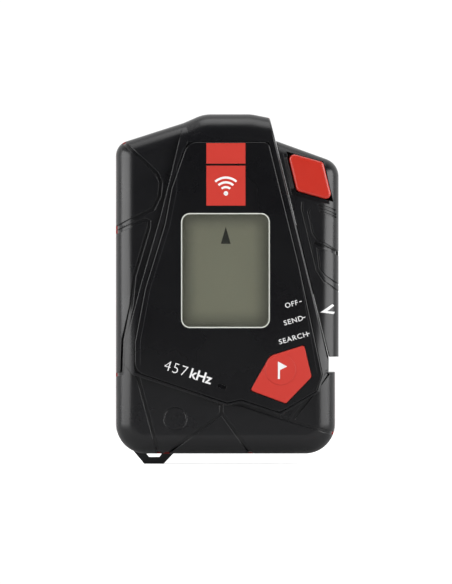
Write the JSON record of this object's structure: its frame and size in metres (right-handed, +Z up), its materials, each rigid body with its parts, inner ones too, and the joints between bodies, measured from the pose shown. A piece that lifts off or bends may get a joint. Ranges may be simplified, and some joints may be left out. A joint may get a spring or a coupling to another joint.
{
  "type": "avalanche transceiver",
  "caption": "Pocket-size black rescue beacon with a slanted three-position selector, red lock key, display window, mark key and a hinged battery door at the back.",
  "frame": {"origin": "on the flat back face, half-way across the width and at the middle of the housing's height", "axes": "+X to the right seen from the display side, +Z up towards the crown, -Y out of the display, +Y out of the back"},
  "size_m": [0.0751, 0.0256, 0.1181],
  "materials": {
    "board": "solder mask",
    "brass": "machined",
    "cell": "satin",
    "chip": "matte",
    "contact": "plated",
    "copper": "enamelled",
    "diffuser": "translucent white",
    "door": "satin",
    "ferrite": "sintered",
    "lcd": "matte",
    "lock_red": "satin",
    "magnet": "plated",
    "panel": "satin",
    "pipe": "polished",
    "rail": "matte",
    "red_seal": "matte",
    "seal": "matte",
    "selector": "satin",
    "shell": "satin",
    "steel": "brushed",
    "window": "polished"
  },
  "bodies": {
    "housing": {"aa_cell": "cell", "case_screws": "steel", "case_seal": "red_seal", "circuit_board": "board", "contact_negative": "contact", "contact_positive": "contact", "display_window": "window", "flat_antenna": "copper", "front_case": "shell", "front_panel": "panel", "hinge_pin": "steel", "lcd_backlight": "diffuser", "lcd_module": "lcd", "light_pipe": "pipe", "long_antenna_rod": "ferrite", "long_antenna_winding": "copper", "mark_switch": "chip", "position_sensors": "chip", "processor_chip": "chip", "rear_case": "shell", "screw_insert": "brass", "selector_rail": "rail", "short_antenna_rod": "ferrite", "short_antenna_winding": "copper", "sounder_disc": "brass", "status_led": "chip"},
    "selector": {"selector_slider": "selector", "slider_back": "selector", "selector_magnet": "magnet", "slider_screws": "steel", "lock_spring": "seal"},
    "lock": {"lock_key": "lock_red"},
    "mark": {"mark_key": "lock_red"},
    "door": {"battery_door": "door", "door_seal": "seal"},
    "coin": {"coin_screw": "steel"}
  },
  "joints": [
    {"name": "selector_slide", "type": "slide", "parent": "housing", "child": "selector", "axis": [0.2385, 0, -0.9711], "range_m": [-0.00515, 0.00515]},
    {"name": "lock_press", "type": "slide", "parent": "selector", "child": "lock", "axis": [0, 1, 0], "range_m": [0, 0.0015], "stiffness_N_per_m": 1200, "springref_m": -0.0006, "deforming": ["lock_spring"]},
    {"name": "mark_press", "type": "slide", "parent": "housing", "child": "mark", "axis": [0, 1, 0], "range_m": [0, 0.0004], "stiffness_N_per_m": 3500, "springref_m": -0.0001},
    {"name": "door_swing", "type": "hinge", "parent": "housing", "child": "door", "pos_m": [0, -0.00195, -0.0522], "axis": [-1, 0, 0], "range_deg": [0, 95]},
    {"name": "coin_turn", "type": "hinge", "parent": "door", "child": "coin", "pos_m": [0, 0, -0.0302], "axis": [0, 1, 0], "range_deg": [0, 180]}
  ]
}
